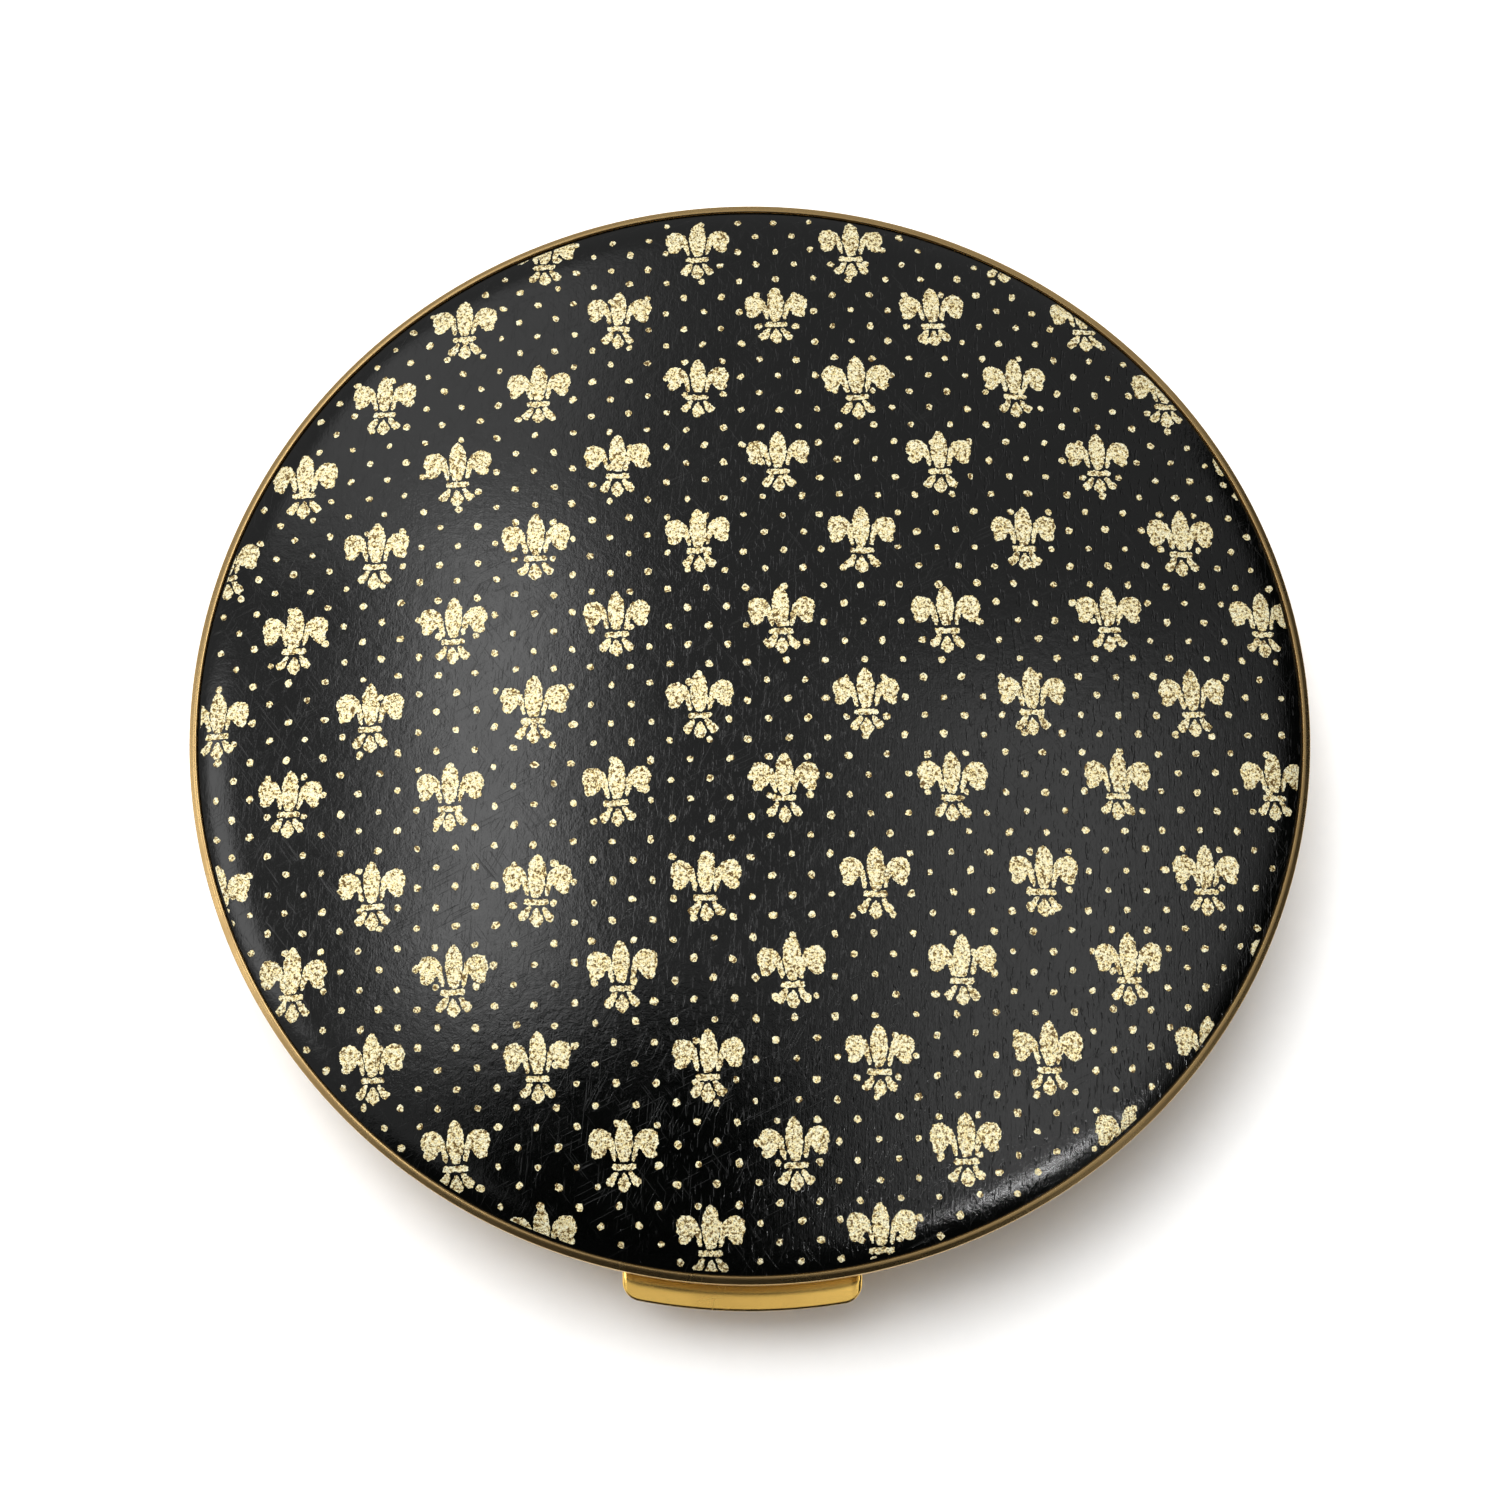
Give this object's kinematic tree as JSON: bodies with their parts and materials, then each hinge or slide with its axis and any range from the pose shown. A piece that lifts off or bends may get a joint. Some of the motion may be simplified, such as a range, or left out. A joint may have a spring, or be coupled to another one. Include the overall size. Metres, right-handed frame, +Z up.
{
  "type": "powder compact",
  "caption": "Round loose-powder compact with a domed black enamel lid, framed mirror, inner lid, sifter, puff and sprung thumb catch.",
  "frame": {"origin": "centre of the flat foot the closed case rests on", "axes": "+Z up through the domed lid, -Y towards the thumb catch, +Y towards the main hinge"},
  "size_m": [0.082, 0.0838, 0.0152],
  "materials": {
    "gilt_case": "fine brushed gilt",
    "gilt_inside": "satin gilt",
    "gilt_catch": "polished gilt, worn at the ends",
    "bronze_rim": "darkened gilt, semi-polished",
    "bronze_parts": "dull stamped brass",
    "steel_parts": "bright drawn steel",
    "black_enamel": "semi-gloss enamel with a printed gold pattern, fine scratches",
    "mirror": "silvered glass",
    "mirror_card": "matt card",
    "pad_felt": "felt",
    "face_powder": "matt pressed-down powder",
    "sifter_cloth": "open-weave gauze",
    "puff_velour": "brushed velour pile",
    "puff_satin": "satin",
    "puff_ribbon": "satin ribbon"
  },
  "bodies": {
    "base": {"base_shell": "gilt_case", "inner_tray": "gilt_inside", "base_hinge": "gilt_case", "hinge_pin": "steel_parts", "powder_bed": "face_powder", "sifter_ring": "gilt_inside", "sifter_gauze": "sifter_cloth", "puff": "puff_velour", "puff_backing": "puff_satin", "puff_ribbon": "puff_ribbon", "inner_bracket": "bronze_parts", "inner_pin": "steel_parts", "inner_spring": "steel_parts", "deck_rivets": "bronze_parts", "catch_bracket": "bronze_parts", "catch_pin": "steel_parts", "catch_spring": "steel_parts"},
    "lid": {"lid_shell": "gilt_case", "lid_panel": "black_enamel", "lid_bezel": "bronze_rim", "mirror_glass": "mirror", "mirror_backing": "mirror_card", "mirror_ring": "gilt_inside", "hold_down_pad": "pad_felt", "striker": "steel_parts", "lid_hinge": "gilt_case"},
    "inner_lid": {"inner_lid": "gilt_inside", "inner_knuckle": "gilt_inside", "inner_tab": "gilt_inside"},
    "thumb_catch": {"thumb_bar": "gilt_catch", "catch_hook": "steel_parts"}
  },
  "joints": [
    {"name": "lid_hinge", "type": "hinge", "parent": "base", "child": "lid", "pos_m": [0, 0.0399, 0.0081], "axis": [-1, 0, 0], "range_deg": [0, 105]},
    {"name": "inner_lid_hinge", "type": "hinge", "parent": "base", "child": "inner_lid", "pos_m": [0, 0.0359, 0.0079], "axis": [-1, 0, 0], "range_deg": [0, 52.5]},
    {"name": "catch_pivot", "type": "hinge", "parent": "base", "child": "thumb_catch", "pos_m": [0, -0.0375, 0.005], "axis": [1, 0, 0], "range_deg": [0, 7], "stiffness_Nm_per_rad": 0.03, "springref_deg": -5.73, "deforming": ["catch_spring"]}
  ],
  "couplings": [
    {"joint": "inner_lid_hinge", "follows": "lid_hinge", "ratio": 0.5}
  ]
}
